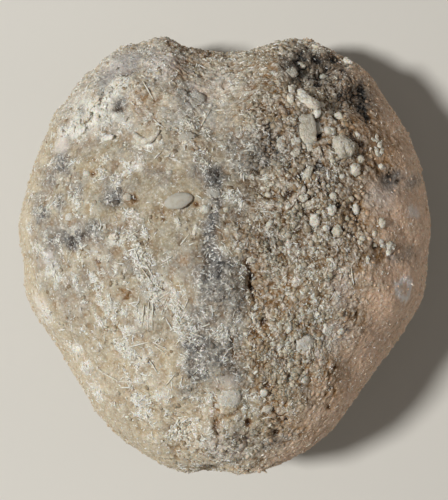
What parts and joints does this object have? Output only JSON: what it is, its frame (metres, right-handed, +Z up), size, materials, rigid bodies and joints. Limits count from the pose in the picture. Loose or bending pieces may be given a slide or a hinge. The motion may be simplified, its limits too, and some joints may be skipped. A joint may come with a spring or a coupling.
{
  "type": "fossil sea urchin",
  "caption": "Heart-shaped fossil urchin: a domed stone with a notched front, a low keel and petal grooves on the back, and a flat worn base.",
  "frame": {"origin": "middle of the fossil's box at the surface it rests on", "axes": "+Y towards the front notch, +Z up out of the domed back, +X towards the rougher, grainier side"},
  "size_m": [0.0466, 0.05, 0.0288],
  "materials": {
    "fossil_stone": "dull, grainy"
  },
  "bodies": {
    "root": {"sea_urchin": "fossil_stone"}
  },
  "joints": []
}
